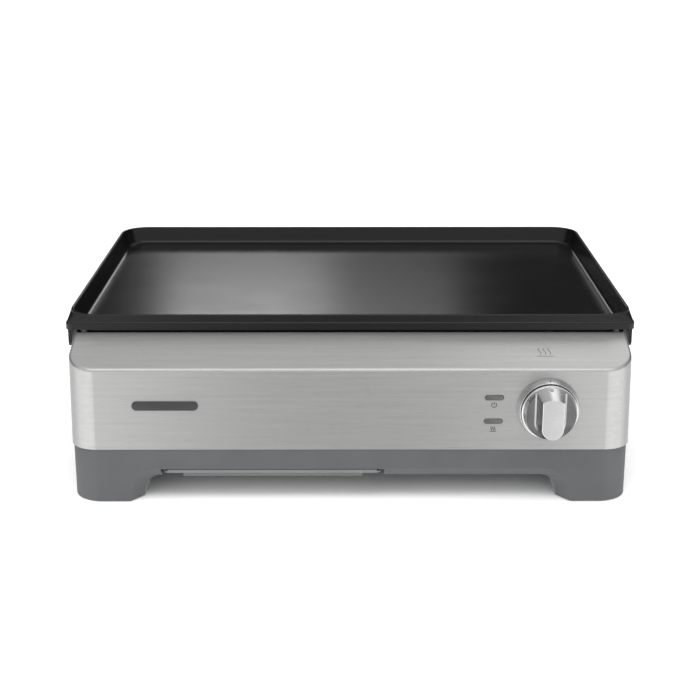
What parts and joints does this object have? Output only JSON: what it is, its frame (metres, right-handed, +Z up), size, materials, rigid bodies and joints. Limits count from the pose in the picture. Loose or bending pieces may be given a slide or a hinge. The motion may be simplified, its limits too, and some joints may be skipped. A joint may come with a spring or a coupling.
{
  "type": "electric griddle",
  "caption": "Countertop electric griddle: lift-off non-stick plate on a brushed steel housing, plastic base with short legs, thermostat knob and slide-out drip tray.",
  "frame": {"origin": "bottom centre of the whole object's box, on the surface that the feet stand on", "axes": "+X to the right seen from the front, +Y towards the rear, +Z up; the knob faces -Y"},
  "size_m": [0.4716, 0.409, 0.147],
  "materials": {
    "grey_plastic": "fine moulded texture",
    "brushed_steel": "fine horizontal brushing",
    "non_stick": "cast aluminium with a satin black non-stick coating",
    "tray_plastic": "smooth satin",
    "satin_chrome": "satin chrome plating",
    "black_rubber": "matt",
    "folded_metal": "bare rolled sheet",
    "element_sheath": "dark oxidised tube",
    "ceramic_white": "unglazed",
    "fastener_steel": "plated",
    "lens_grey": "smoked lens",
    "lamp_glass": "clear glass over an orange glow lamp",
    "dark_trim": "blank printed bar",
    "copper": "drawn tube",
    "wire_brown": "silicone sleeving",
    "wire_blue": "silicone sleeving",
    "wire_green": "silicone sleeving"
  },
  "bodies": {
    "base": {"badge_bar": "dark_trim", "base_screw_front_left": "fastener_steel", "base_screw_front_right": "fastener_steel", "base_screw_rear_left": "fastener_steel", "base_screw_rear_right": "fastener_steel", "base_shell": "grey_plastic", "control_heat_shield": "folded_metal", "cord_gland": "black_rubber", "element_insulator_left": "ceramic_white", "element_insulator_right": "ceramic_white", "element_pin_left": "fastener_steel", "element_pin_right": "fastener_steel", "element_stand_1": "folded_metal", "element_stand_2": "folded_metal", "element_stand_3": "folded_metal", "element_stand_4": "folded_metal", "foot_pad_front_left": "black_rubber", "foot_pad_front_right": "black_rubber", "foot_pad_rear_left": "black_rubber", "foot_pad_rear_right": "black_rubber", "grease_chute": "folded_metal", "heat_reflector": "folded_metal", "heating_element": "element_sheath", "indicator_lamp_lower": "lamp_glass", "indicator_lamp_upper": "lamp_glass", "indicator_lens_lower": "lens_grey", "indicator_lens_upper": "lens_grey", "knob_bezel": "satin_chrome", "lamp_bracket": "folded_metal", "plate_rail_left": "folded_metal", "plate_rail_right": "folded_metal", "plate_rest_left": "black_rubber", "plate_rest_right": "black_rubber", "rear_panel": "grey_plastic", "rear_screw_lower_left": "fastener_steel", "rear_screw_lower_right": "fastener_steel", "rear_screw_upper_left": "fastener_steel", "rear_screw_upper_right": "fastener_steel", "sensor_bulb": "copper", "sensor_capillary": "copper", "sensor_stand": "folded_metal", "steel_housing": "brushed_steel", "terminal_block": "ceramic_white", "thermal_fuse": "ceramic_white", "thermostat_body": "ceramic_white", "thermostat_bracket": "folded_metal", "thermostat_screw_left": "fastener_steel", "thermostat_screw_right": "fastener_steel", "tray_runner_left": "folded_metal", "tray_runner_right": "folded_metal", "wire_earth": "wire_green", "wire_element": "wire_brown", "wire_live": "wire_brown", "wire_neutral_front": "wire_blue", "wire_neutral_rear": "wire_blue"},
    "plate": {"griddle_plate": "non_stick"},
    "tray": {"drip_tray": "tray_plastic"},
    "knob": {"control_knob": "satin_chrome", "thermostat_shaft": "fastener_steel"}
  },
  "joints": [
    {"name": "plate_lift", "type": "slide", "parent": "base", "child": "plate", "axis": [0, 0, 1], "range_m": [0, 0.06]},
    {"name": "tray_slide", "type": "slide", "parent": "base", "child": "tray", "axis": [0, -1, 0], "range_m": [0, 0.12]},
    {"name": "knob_turn", "type": "hinge", "parent": "base", "child": "knob", "pos_m": [0.1597, -0.1735, 0.0822], "axis": [0, 1, 0], "range_deg": [0, 270]}
  ]
}
